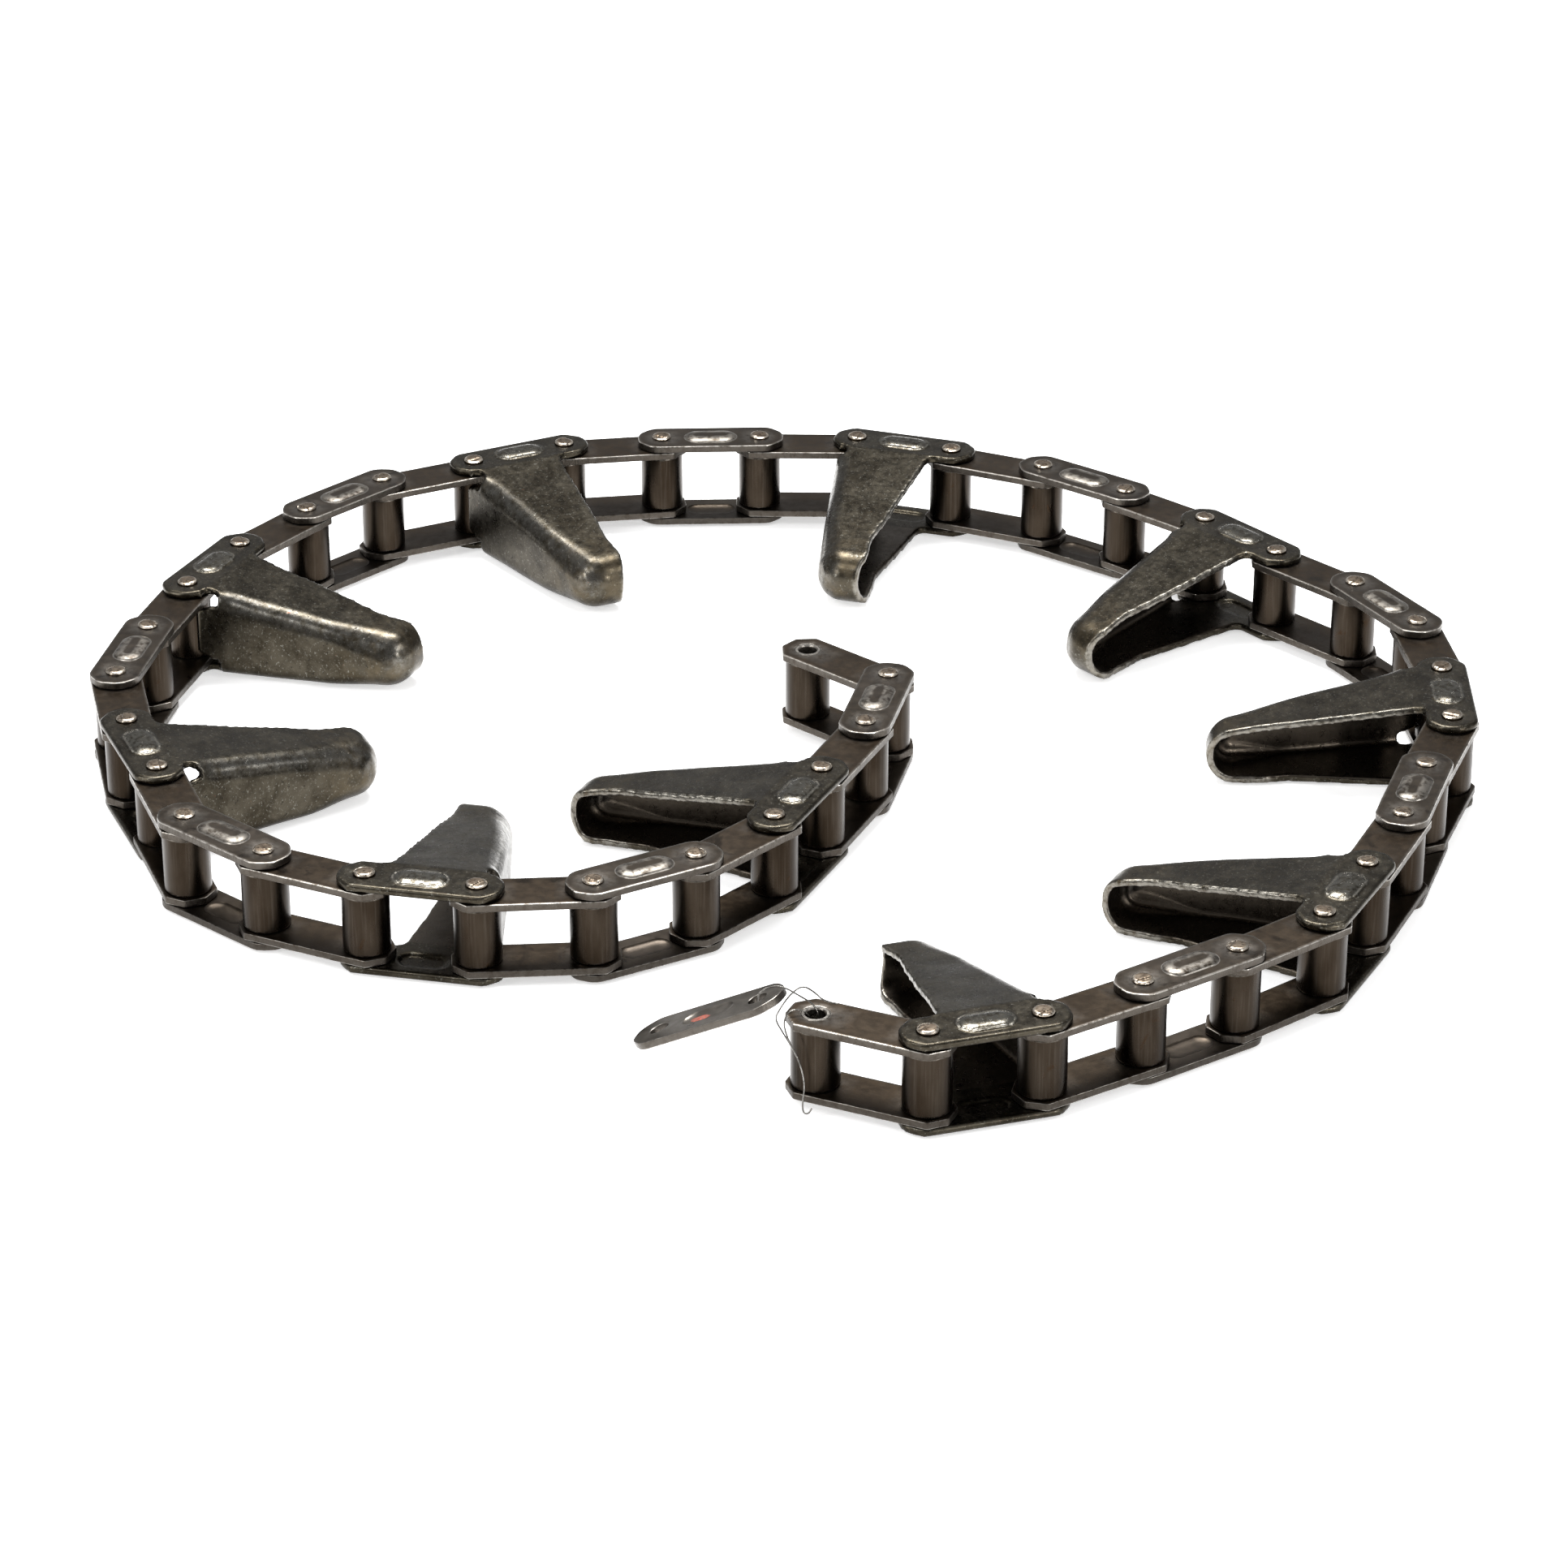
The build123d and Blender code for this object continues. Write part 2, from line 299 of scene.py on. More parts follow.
def finger_steel():
    """Hot-rolled pressing: olive scale, fine specks and pits, brown nose, bends lightened as a painted
    highlight, pad lightened as polish and painted highlight.
    """
    s = Shader("finger_steel")
    blotch = s.ramp(s.noise(11, 6, 0.62, warp=0.5), 0.32, 0.68)
    colour = s.mix(blotch, (0.023, 0.019, 0.013), (0.054, 0.047, 0.035))
    speck = s.ramp(s.noise(1.1, 4, 0.75), 0.56, 0.70)
    colour = s.mix(s.math("MULTIPLY", speck, 0.60), colour, (0.21, 0.205, 0.18))
    pit = s.ramp(s.noise(1.7, 3, 0.65, warp=0.5), 0.64, 0.70)
    colour = s.mix(s.math("MULTIPLY", pit, 0.75), colour, (0.012, 0.011, 0.009))
    nose = s.math("MULTIPLY", s.attribute("nose"), s.ramp(s.noise(7, 5, 0.6), 0.35, 0.62))
    colour = s.mix(s.math("MULTIPLY", nose, 0.55), colour, (0.085, 0.068, 0.044))
    rust = s.ramp(s.noise(2.2, 4, 0.65, warp=0.8), 0.70, 0.75)
    colour = s.mix(s.math("MULTIPLY", rust, 0.7), colour, (0.13, 0.045, 0.020))
    inside = s.attribute("inside")
    colour = s.mix(s.math("MULTIPLY", inside, 0.85), colour, (0.070, 0.058, 0.046))
    rubbed = s.ramp(s.noise(3.0, 5, 0.7), 0.30, 0.62)
    # painted highlight: bend masks the top bend, lightened where light would catch it
    bend = s.math("MULTIPLY", s.attribute("bend"), s.ramp(s.noise(3.6, 5, 0.65), 0.28, 0.75))
    # ridge: worn edges from pointiness and the open edge, plus a painted highlight on the pad's rim that
    # rides in the edge mask
    ridge = s.math("ADD", s.ramp(s.pointiness(), 0.53, 0.62), s.math("MULTIPLY", s.attribute("edge"), 0.60))
    wear = s.math("MULTIPLY", ridge, rubbed)
    # painted highlight along the top bend
    colour = s.mix(s.math("MULTIPLY", bend, 0.50), colour, (0.28, 0.275, 0.26))
    # the pad is lightened, partly as polished wear and partly as a painted highlight on its dome
    pad = s.math("MULTIPLY", s.attribute("pad"), s.ramp(s.noise(2.2, 4, 0.6), 0.35, 0.65))
    colour = s.mix(s.math("MULTIPLY", pad, 0.45), colour, (0.30, 0.29, 0.26))
    colour = s.mix(s.math("MULTIPLY", wear, 0.65), colour, (0.36, 0.345, 0.31))
    rough = s.ramp(s.noise(2.6, 5, 0.6), 0.3, 0.7, 0.26, 0.40)
    rough = s.blend(pit, rough, 0.6)
    rough = s.blend(s.math("ADD", bend, pad), rough, 0.20)
    rough = s.blend(wear, rough, 0.28)
    s.bump([
        (s.noise(8.0, 3, 0.5), 0.10),
        (s.noise(1.2, 4, 0.6), 0.03),
        (pit, -0.05),
    ])
    return s.finish(colour, rough)


def roller_steel():
    """Smooth hardened roller, brown oil film with a few glossy smears and thin painted highlight streaks
    running up it.
    """
    s = Shader("roller_steel")
    blotch = s.ramp(s.noise(12, 3, 0.5, stretch=(1, 1, 2.5)), 0.35, 0.65)
    colour = s.mix(blotch, (0.017, 0.012, 0.008), (0.029, 0.022, 0.016))
    # painted highlight: thin light vertical streaks stand in for the highlight lines on the roller
    painted_streak_highlight = s.ramp(s.noise(0.9, 3, 0.6, stretch=(1, 1, 30)), 0.45, 0.80)
    colour = s.mix(s.math("MULTIPLY", painted_streak_highlight, 0.14), colour, (0.12, 0.105, 0.09))
    smear = s.ramp(s.noise(7, 4, 0.55, stretch=(1, 1, 1.8), warp=1.2), 0.63, 0.74)
    colour = s.mix(s.math("MULTIPLY", smear, 0.65), colour, (0.022, 0.012, 0.006))
    wear = s.math("MULTIPLY", s.attribute("wear"), s.ramp(s.noise(2.0, 4, 0.6), 0.3, 0.6))
    colour = s.mix(s.math("MULTIPLY", wear, 0.7), colour, (0.26, 0.24, 0.21))
    rough = s.ramp(s.noise(4.0, 3, 0.5, stretch=(1, 1, 4)), 0.3, 0.7, 0.26, 0.36)
    rough = s.blend(smear, rough, 0.16)
    s.bump([(s.noise(5.0, 2, 0.5), 0.015), (smear, 0.03)])
    return s.finish(colour, rough)


def bush_steel():
    """Turned bush, its end ring a little brighter."""
    s = Shader("bush_steel")
    turned = s.noise(0.25, 2, 0.5)
    colour = s.mix(s.ramp(turned, 0.3, 0.7), (0.10, 0.088, 0.074), (0.19, 0.17, 0.145))
    dirt = s.ramp(s.noise(2.5, 4, 0.6), 0.50, 0.66)
    colour = s.mix(s.math("MULTIPLY", dirt, 0.7), colour, (0.04, 0.032, 0.024))
    colour = s.mix(s.math("MULTIPLY", s.attribute("wear"), 0.6), colour, (0.42, 0.40, 0.37))
    rough = s.ramp(s.noise(1.5, 3, 0.5), 0.3, 0.7, 0.26, 0.42)
    s.bump([(turned, 0.02)])
    return s.finish(colour, rough)


def pin_steel():
    """Peened pin head: coppery temper colour with a bright rim, partly beaten wear and partly a painted
    highlight.
    """
    s = Shader("pin_steel")
    tint = s.ramp(s.noise(3.2, 3, 0.55), 0.35, 0.65)
    colour = s.mix(tint, (0.115, 0.080, 0.052), (0.20, 0.155, 0.112))
    dirt = s.ramp(s.noise(1.6, 4, 0.6), 0.56, 0.70)
    colour = s.mix(s.math("MULTIPLY", dirt, 0.7), colour, (0.035, 0.026, 0.018))
    # the head's rim is lightened, partly as beaten wear and partly as a painted highlight
    wear = s.math("MULTIPLY", s.attribute("wear"), s.ramp(s.noise(1.2, 3, 0.6), 0.3, 0.55))
    colour = s.mix(s.math("MULTIPLY", wear, 0.85), colour, (0.50, 0.46, 0.40))
    rough = s.ramp(s.noise(1.2, 3, 0.5), 0.3, 0.7, 0.26, 0.40)
    s.bump([(s.noise(2.0, 2, 0.5), 0.05)])
    return s.finish(colour, rough)


def wire_steel():
    """Soft bright wire, a little dulled."""
    s = Shader("wire_steel")
    dull = s.ramp(s.noise(2.0, 4, 0.6), 0.35, 0.65)
    colour = s.mix(dull, (0.22, 0.21, 0.195), (0.09, 0.086, 0.078))
    s.bump([(s.noise(0.5, 2, 0.5), 0.01)])
    return s.finish(colour, s.ramp(dull, 0, 1, 0.22, 0.38))


def red_paint():
    """Daub of inspection paint, thin at its edge."""
    s = Shader("red_paint")
    tone = s.ramp(s.noise(1.3, 4, 0.65), 0.35, 0.65)
    colour = s.mix(tone, (0.20, 0.032, 0.020), (0.38, 0.085, 0.050))
    thin = s.ramp(s.noise(0.9, 4, 0.7), 0.46, 0.60)
    colour = s.mix(s.math("MULTIPLY", thin, 0.75), colour, (0.12, 0.095, 0.080))
    s.bump([(s.noise(1.2, 3, 0.6), 0.08)])
    return s.finish(colour, s.ramp(tone, 0, 1, 0.40, 0.6), metallic=0.0)


MATERIALS = {
    "inner_plate": plate_steel("inner_plate_steel", (0.034, 0.024, 0.0155), (0.047, 0.0345, 0.0235), 18),
    "outer_plate": plate_steel("outer_plate_steel", (0.038, 0.030, 0.022), (0.056, 0.046, 0.037), 12),
    "spare_plate": plate_steel("spare_plate_steel", (0.130, 0.117, 0.102), (0.190, 0.173, 0.153), 20),
    "finger": finger_steel(),
    "roller": roller_steel(),
    "bush": bush_steel(),
    "pin": pin_steel(),
    "wire": wire_steel(),
    "paint": red_paint(),
}


# --- mesh helpers, in millimetres until the end ---
def mesh_from(name, points, faces, attributes, sharp_angle=38):
    """Mesh in metres with named per-point numbers."""
    mesh = bpy.data.meshes.new(name)
    mesh.from_pydata([(x * MM, y * MM, z * MM) for x, y, z in points], [], faces)
    for key, values in attributes.items():
        layer = mesh.attributes.new(key, "FLOAT", "POINT")
        layer.data.foreach_set("value", np.asarray(values, np.float32))
    mesh.validate()
    mesh.shade_smooth()
    mesh.set_sharp_from_angle(angle=math.radians(sharp_angle))
    return mesh


def outline(inset, corner_r, step=2.5):
    """Points round an oblong with cut, rounded ends, moved in by inset."""
    left, right = -HALF_HEIGHT, PITCH + HALF_HEIGHT
    top, bottom = HALF_HEIGHT, -HALF_HEIGHT
    corners = [
        (right - END_CUT, bottom), (right, bottom + END_CUT), (right, top - END_CUT),
        (right - END_CUT, top), (left + END_CUT, top), (left, top - END_CUT),
        (left, bottom + END_CUT), (left + END_CUT, bottom),
    ]
    points = []
    # each corner turns by 45 degrees, in four steps
    reach = corner_r / math.cos(math.radians(22.5))
    for i, (x, y) in enumerate(corners):
        bisector = math.radians(-67.5 + 45 * i)
        cx = x - reach * math.cos(bisector)
        cy = y - reach * math.sin(bisector)
        for k in range(5):
            angle = bisector + math.radians(-22.5 + 45 * k / 4)
            radius = corner_r - inset
            points.append((cx + radius * math.cos(angle), cy + radius * math.sin(angle)))
    filled = []
    for (ax, ay), (bx, by) in zip(points, points[1:] + points[:1]):
        filled.append((ax, ay))
        runs = int(math.hypot(bx - ax, by - ay) / step)
        for k in range(1, runs):
            filled.append((ax + (bx - ax) * k / runs, ay + (by - ay) * k / runs))
    return filled


def ring(cx, cy, radius, count):
    turn = 2 * math.pi / count
    return [(cx + radius * math.cos(turn * k), cy + radius * math.sin(turn * k)) for k in range(count)]


def oblong_ring(length, width, offset, count=40):
    """Round-ended oblong about the middle of the link, grown by offset."""
    half = (length - width) / 2
    radius = width / 2 + offset
    points = []
    for k in range(count + 1):
        angle = -math.pi / 2 + math.pi * k / count
        points.append((PITCH / 2 + half + radius * math.cos(angle), radius * math.sin(angle)))
    points += [(PITCH - x, -y) for x, y in points]
    return points


def oblong_depth(x, y, length, width):
    """How far inside the oblong a point lies."""
    half = (length - width) / 2
    along = max(abs(x - PITCH / 2) - half, 0)
    return width / 2 - math.hypot(along, y)


def pad_height(x, y, inset=0.0, height=PAD_H, length=PAD_LENGTH, width=PAD_WIDTH):
    """Height of an embossed pad: a crisp step at its rim, then a low dome."""
    depth = oblong_depth(x, y, length - 2 * inset, width - 2 * inset)
    if depth <= 0:
        return 0.0
    step = min(depth / 0.35, 1.0)
    dome = min(depth / PAD_DOME, 1.0)
    return PAD_STEP * step + (height - PAD_STEP) * (1 - (1 - dome) ** 2.1)


def plate_mesh(name, hole_r, corner_r, pad, seed):
    """Stamped plate on z = 0 to PLATE_T with rounded edges and, if asked, an embossed pad."""
    insets = (0.0, 0.12, EDGE_ROUND, 1.1, 2.2)
    rings = [(outline(d, corner_r), d) for d in insets]
    for hole_x in (0, PITCH):
        rings += [(ring(hole_x, 0, hole_r + d, 40), d) for d in (0.0, 0.15, 0.5)]
    if pad:
        offsets = (0.4, 0.0, -0.15, -0.35, -0.8, -1.2, -1.8, -2.6, -3.5, -4.4)
        rings += [(oblong_ring(PAD_LENGTH, PAD_WIDTH, d), FAR_IN) for d in offsets]
    coords, edges, depth = [], [], []
    for points, d in rings:
        first = len(coords)
        coords += [Vector(p) for p in points]
        depth += [d] * len(points)
        edges += [(first + k, first + (k + 1) % len(points)) for k in range(len(points))]
    out, _, triangles, origin, _, _ = delaunay_2d_cdt(coords, edges, [], 0, 1e-4)
    out_depth = [depth[o[0]] if o else FAR_IN for o in origin]
    keep = []
    for face in triangles:
        centre = sum((out[i] for i in face), Vector((0, 0))) / len(face)
        if min((centre - Vector((hole_x, 0))).length for hole_x in (0, PITCH)) > hole_r - 0.02:
            keep.append(list(face))
    wobble = [
        0.10 * noise.noise(Vector((p.x * 0.35, p.y * 0.35, seed * 3.1))) if d < 3 else 0.0
        for p, d in zip(out, out_depth)
    ]
    count = len(out)
    pad_depth = [oblong_depth(p.x, p.y, PAD_LENGTH, PAD_WIDTH) if pad else NO_PAD for p in out]
    # painted highlight: a thin ring on the pad's rim goes into the wear mask and is drawn as a bright
    # outline
    pad_rim_highlight = [PAD_RIM_HIGHLIGHT if abs(d - 0.1) < 0.18 else 0.0 for d in pad_depth]
    top, bottom, wear = [], [], []
    for p, d, w in zip(out, out_depth, wobble):
        fall = 0.0
        if d < EDGE_ROUND:
            fall = EDGE_ROUND - math.sqrt(EDGE_ROUND ** 2 - (EDGE_ROUND - d) ** 2)
        raised = pad_height(p.x, p.y) if pad else 0.0
        sunk = pad_height(p.x, p.y, PAD_RECESS_INSET, PAD_RECESS_DEPTH) if pad else 0.0
        push = w * max(0.0, 1 - d)
        x = PITCH / 2 + (p.x - PITCH / 2) * (1 + push / PLATE_HALF_LENGTH)
        y = p.y * (1 + push / HALF_HEIGHT)
        top.append((x, y, PLATE_T - fall + raised))
        bottom.append((x, y, fall * 0.5 + sunk))
        wear.append(1.0 if d < 0.3 else 0.25 if d < 1 else 0.0)
    border = dict.fromkeys((a, b) for face in keep for a, b in zip(face, face[1:] + face[:1]))
    faces = [tuple(face) for face in keep]
    faces += [tuple(i + count for i in reversed(face)) for face in keep]
    points = top + bottom
    wear = [max(w, r) for w, r in zip(wear, pad_rim_highlight)] + [0.6 * w for w in wear]
    side_flag = [0.0] * (2 * count)
    # pad marks the pad for the shader's lightening: partly polished wear, partly a painted highlight
    on_pad = [1.0 if 0 < d < 4.0 else 0.0 for d in pad_depth]
    on_pad += [0.0] * count
    rim = [(a, b) for (a, b) in border if (b, a) not in border]
    extra = {}
    for a, _ in rim:
        extra[a] = len(points)
        points.append((*top[a][:2], top[a][2] - 0.02))
        points.append((*bottom[a][:2], bottom[a][2] + 0.02))
        wear += [0.10, 0.05]
        side_flag += [1.0, 1.0]
        on_pad += [0.0, 0.0]
    for a, b in rim:
        ta, tb, la, lb = extra[a], extra[b], extra[a] + 1, extra[b] + 1
        faces.append((b, a, ta, tb))
        faces.append((tb, ta, la, lb))
        faces.append((lb, la, a + count, b + count))
    return mesh_from(name, points, faces, {"wear": wear, "side": side_flag, "pad": on_pad})


def lathe(name, profile, segments, closed=True, change=None):
    """Turned body from (radius, z, wear) points. Open profiles start and end on the axis."""
    points, wear, rows = [], [], []
    for radius, z, w in profile:
        if radius == 0:
            rows.append([len(points)] * segments)
            points.append((0, 0, z))
            wear.append(w)
            continue
        rows.append(list(range(len(points), len(points) + segments)))
        for x, y in ring(0, 0, radius, segments):
            points.append(change(x, y, z) if change else (x, y, z))
            wear.append(w)
    pairs = list(zip(rows, rows[1:]))
    if closed:
        pairs.append((rows[-1], rows[0]))
    faces = []
    for low, high in pairs:
        for k in range(segments):
            n = (k + 1) % segments
            quad = [low[k], low[n], high[n], high[k]]
            faces.append(tuple(dict.fromkeys(quad)))
    return mesh_from(name, points, faces, {"wear": wear}, 30)


def roller_mesh():
    low = INNER_FLOOR + SIDE_GAP
    high = INNER_CEILING - SIDE_GAP
    r, bore = ROLLER_R, ROLLER_BORE_R
    return lathe("roller", [
        (bore, low + 0.3, 0), (bore + 0.3, low, 0.2), (r - 0.7, low, 0.3), (r - 0.2, low + 0.15, 1),
        (r - 0.04, low + 0.45, 0.5), (r, low + 0.9, 0), (r, low + 6, 0), (r, (low + high) / 2, 0),
        (r, high - 6, 0), (r, high - 0.9, 0), (r - 0.04, high - 0.45, 0.5), (r - 0.2, high - 0.15, 1),
        (r - 0.7, high, 0.3), (bore + 0.3, high, 0.2), (bore, high - 0.3, 0),
        (bore, (low + high) / 2, 0),
    ], 72)


def bush_mesh():
    low, high = INNER_BOTTOM, INNER_TOP
    return lathe("bush", [
        (BUSH_BORE_R, low + 0.4, 0), (BUSH_BORE_R + 0.25, low, 0.6), (BUSH_R - 0.2, low, 0.6),
        (BUSH_R, low + 0.2, 0), (BUSH_R, high - 0.2, 0), (BUSH_R - 0.2, high, 0.7),
        (BUSH_BORE_R + 0.35, high, 1.0), (BUSH_BORE_R, high - 0.5, 0.4),
        (BUSH_BORE_R, (low + high) / 2, 0),
    ], 56)


def pin_mesh(seed):
    """Pin whose heads are hammered over, the upper one with a chiselled step."""
    rng = random.Random(seed)
    step_at = rng.uniform(0.6, 1.5)
    step = rng.uniform(0.30, 0.50)
    tilt = rng.uniform(-0.08, 0.08)

    def hammered(x, y, z):
        beyond = z - OUTER_TOP
        if beyond > 0.9:
            t = min(max((y - step_at) / 0.35, 0), 1)
            z = z - step * t * t * (3 - 2 * t) + min(tilt * x, 0)
        return (x, y, z)

    half = [
        (0, 0.0, 0.1), (0.6, 0.0, 0.1), (1.0, 0.0, 0.1), (1.4, 0.0, 0.1), (1.8, 0.0, 0.1),
        (2.2, 0.0, 0.1), (2.6, 0.02, 0.1), (3.0, 0.05, 0.3), (3.4, 0.2, 0.9), (3.75, 0.45, 1.0),
        (RIVET_R, 0.9, 0.4), (3.9, 1.25, 0), (PIN_R, RIVET_H + 0.02, 0),
    ]
    profile = half + [(PIN_R, CHAIN_HEIGHT / 2, 0)]
    profile += [(r, CHAIN_HEIGHT - z, w) for r, z, w in reversed(half)]
    return lathe(f"pin_{seed}", profile, 44, closed=False, change=hammered)


def smooth_step(value, low, high):
    t = np.clip((value - low) / (high - low), 0, 1)
    return t * t * (3 - 2 * t)


def noise_at(x, y, z):
    return np.array([noise.noise(Vector(place)) for place in zip(x, y, z)])


def nose_profile(y, z):
    """Depth below the finger's side profile, and the profile's outward normal in Y and Z."""
    top_z = OUTER_TOP - FINGER_FALL * np.maximum(-y - HALF_HEIGHT, 0)
    slope = math.atan(FINGER_FALL)
    below_top = (top_z - z) * math.cos(slope)
    above_floor = z - OUTER_BOTTOM
    is_top = below_top < above_floor
    depth = np.where(is_top, below_top, above_floor)
    ny = np.where(is_top, -math.sin(slope), 0.0)
    nz = np.where(is_top, math.cos(slope), -1.0)
    centre_y = NOSE_R - FINGER_REACH
    low = OUTER_BOTTOM + NOSE_R
    high = OUTER_TOP + FINGER_FALL * (centre_y + HALF_HEIGHT) - NOSE_R / math.cos(slope)
    dy = y - centre_y
    dz = z - np.clip(z, low, high)
    far = np.maximum(np.hypot(dy, dz), 1e-6)
    at_nose = dy < 0
    depth = np.where(at_nose, NOSE_R - far, depth)
    return depth, np.where(at_nose, dy / far, ny), np.where(at_nose, dz / far, nz)


def ease_corner(a, b, old_r, new_r):
    """Shifts that turn a fillet of old_r into one of new_r, for depths a and b below its faces."""
    ca = np.maximum(new_r - a, 0)
    cb = np.maximum(new_r - b, 0)
    far = np.maximum(np.hypot(ca, cb), 1e-6)
    ca, cb = ca / far, cb / far
    grow = np.maximum(new_r - old_r, 0)
    along = grow * (ca + cb)
    on_arc = along + np.sqrt(np.maximum(along ** 2 - 2 * grow ** 2 + old_r ** 2, 0))
    on_face = new_r / np.maximum(np.maximum(ca, cb), 1e-6)
    surface = np.where(on_face * np.minimum(ca, cb) > grow, on_arc, on_face)
    inside = (a < new_r) & (b < new_r)
    shift = np.where(inside, surface - new_r, 0)
    return shift * ca, shift * cb, inside


def finger_mesh(seed):
    """The CAD pressing, remeshed finely, its bends eased and its open edge flared and wavering."""
    source = bpy.data.objects.new("finger_source", frame["nodes"]["link_04_finger"].data.copy())
    bpy.context.scene.collection.objects.link(source)
    source.data.transform(link_place(4).inverted())
    source.data.materials.clear()
    remesh = source.modifiers.new("remesh", "REMESH")
    remesh.mode = "VOXEL"
    remesh.voxel_size = VOXEL * MM
    soften = source.modifiers.new("soften", "SMOOTH")
    soften.factor = 0.5
    soften.iterations = 3
    graph = bpy.context.evaluated_depsgraph_get()
    mesh = bpy.data.meshes.new_from_object(source.evaluated_get(graph))
    bpy.data.objects.remove(source)
    mesh.name = f"finger_{seed}"
    co = np.zeros(len(mesh.vertices) * 3, np.float32)
    mesh.vertices.foreach_get("co", co)
    x, y, z = (co.reshape(-1, 3).astype(float) / MM).T.copy()
    slow = noise_at(x * 0.05 + seed * 5.3, y * 0.06, z * 0.06)
    ragged = noise_at(np.full_like(x, seed * 2.1), y * 0.26, z * 0.26)
    fine = noise_at(x * 0.3 + seed, y * 0.9, z * 0.9)
    # out rises from 0 at the chain to 1 on the finger, and nose from 0 to 1 near the finger's end
    out = smooth_step(-y, 12, 22)
    nose = smooth_step(-y, 58, 84)
    # ease the bend between the closed wall and the top, nose and bottom
    inward = x - (FINGER_CLOSED + FINGER_LEAN * np.maximum(-y - HALF_HEIGHT, 0))
    depth, ny, nz = nose_profile(y, z)
    upper = smooth_step(nz, -0.6, 0.3)
    top_r = BEND_TOP_R + (NOSE_TOP_R - BEND_TOP_R) * nose
    low_r = FINGER_BEND_R + (NOSE_LOW_R - FINGER_BEND_R) * nose
    radius = upper * top_r + (1 - upper) * low_r
    shift_x, shift_n, cornered = ease_corner(inward, depth, FINGER_BEND_R, radius)
    # bend marks the eased top bend, which the shader lightens as a painted highlight
    bend = np.clip(1 - np.abs(inward - depth) / radius, 0, 1) * cornered * out
    x += shift_x * out
    y -= shift_n * ny * out
    z -= shift_n * nz * out
    # flare the open edge at the nose, narrow it behind, and let it waver
    open_edge = FINGER_OPEN - FINGER_TAPER * (-y - HALF_HEIGHT)
    near_open = smooth_step(x - open_edge, -10, -0.5)
    share = 1 + 0.5 * math.sin(2.3 * seed)
    swell = FLARE * np.exp(-((y + FLARE_AT) / FLARE_SPAN) ** 2)
    swell -= WAIST * np.exp(-((y + WAIST_AT) / WAIST_SPAN) ** 2)
    swell *= share
    edge = smooth_step(x - open_edge, -1.6, -0.3) * out
    x += out * near_open * (swell + 0.9 * slow + 0.25 * ragged) + 0.15 * fine * edge
    z += 0.30 * slow * out
    # a low dome on the pad
    for i in np.nonzero((z > OUTER_TOP + 0.35) & (y > -HALF_HEIGHT))[0]:
        rise = pad_height(x[i], y[i], 0.0, PAD_H, FINGER_PAD_LENGTH, FINGER_PAD_WIDTH)
        z[i] = OUTER_TOP + max(rise, 0.1) if rise > 0 else z[i]
    co = np.stack([x, y, z], 1) * MM
    mesh.vertices.foreach_set("co", co.astype(np.float32).ravel())
    mesh.update()
    inside = ((depth > 1.9) & (inward > 1.9) & (y < -12)).astype(float)
    pad_depth = np.array([oblong_depth(a, b, FINGER_PAD_LENGTH, FINGER_PAD_WIDTH) for a, b in zip(x, y)])
    on_pad = (pad_depth > 0) & (z > OUTER_TOP + 0.2)
    # painted highlight: the pad's rim joins the edge mask and is lightened like the worn open edge
    edge = np.maximum(edge, (np.abs(pad_depth + 0.1) < 0.45) & (z > OUTER_TOP - 0.2))
    # bend feeds a painted highlight; pad a lightening that is partly polish, partly painted highlight
    marks = {"bend": bend * upper, "nose": nose, "inside": inside, "edge": edge, "pad": on_pad}
    for key, values in marks.items():
        layer = mesh.attributes.new(key, "FLOAT", "POINT")
        layer.data.foreach_set("value", values.astype(np.float32))
    mesh.shade_smooth()
    return mesh


# --- placing pieces ---
def piece(name, mesh, material, place, body, nodes, slot):
    """One visible piece, riding on its CAD body and standing for its CAD node."""
    item = bpy.data.objects.new(name, mesh)
    bpy.context.scene.collection.objects.link(item)
    if not mesh.materials:
        mesh.materials.append(MATERIALS[material])
    item.matrix_world = place
    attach(item, body)
    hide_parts(*nodes)


def at(x, y, z, spin=0.0):
    """Place inside a link, in millimetres."""
    return Matrix.Translation(Vector((x, y, z)) * MM) @ Matrix.Rotation(spin, 4, "Z")


def mirrored(mesh, name):
    """The same mesh mirrored below z = 0, with its faces put right."""
    copy = mesh.copy()
    copy.name = name
    copy.transform(Matrix.Scale(-1, 4, (0, 0, 1)))
    copy.flip_normals()
    return copy


VARIANTS = 3
variants = range(VARIANTS)
inner_tops = [plate_mesh(f"inner_plate_{k}", BUSH_R, INNER_CORNER, False, 10 + k) for k in variants]
outer_tops = [plate_mesh(f"outer_plate_{k}", PIN_R, OUTER_CORNER, True, 20 + k) for k in variants]
inner_lows = [mirrored(m, m.name + "_low") for m in inner_tops]
outer_lows = [mirrored(m, m.name + "_low") for m in outer_tops]
spare_mesh = plate_mesh("spare_plate", SPARE_HOLE_R, OUTER_CORNER, True, 31)
roller_body = roller_mesh()
bush_body = bush_mesh()
pin_bodies = [pin_mesh(k) for k in range(5)]
finger_bodies = [finger_mesh(k) for k in range(3)]
rng = random.Random(4)


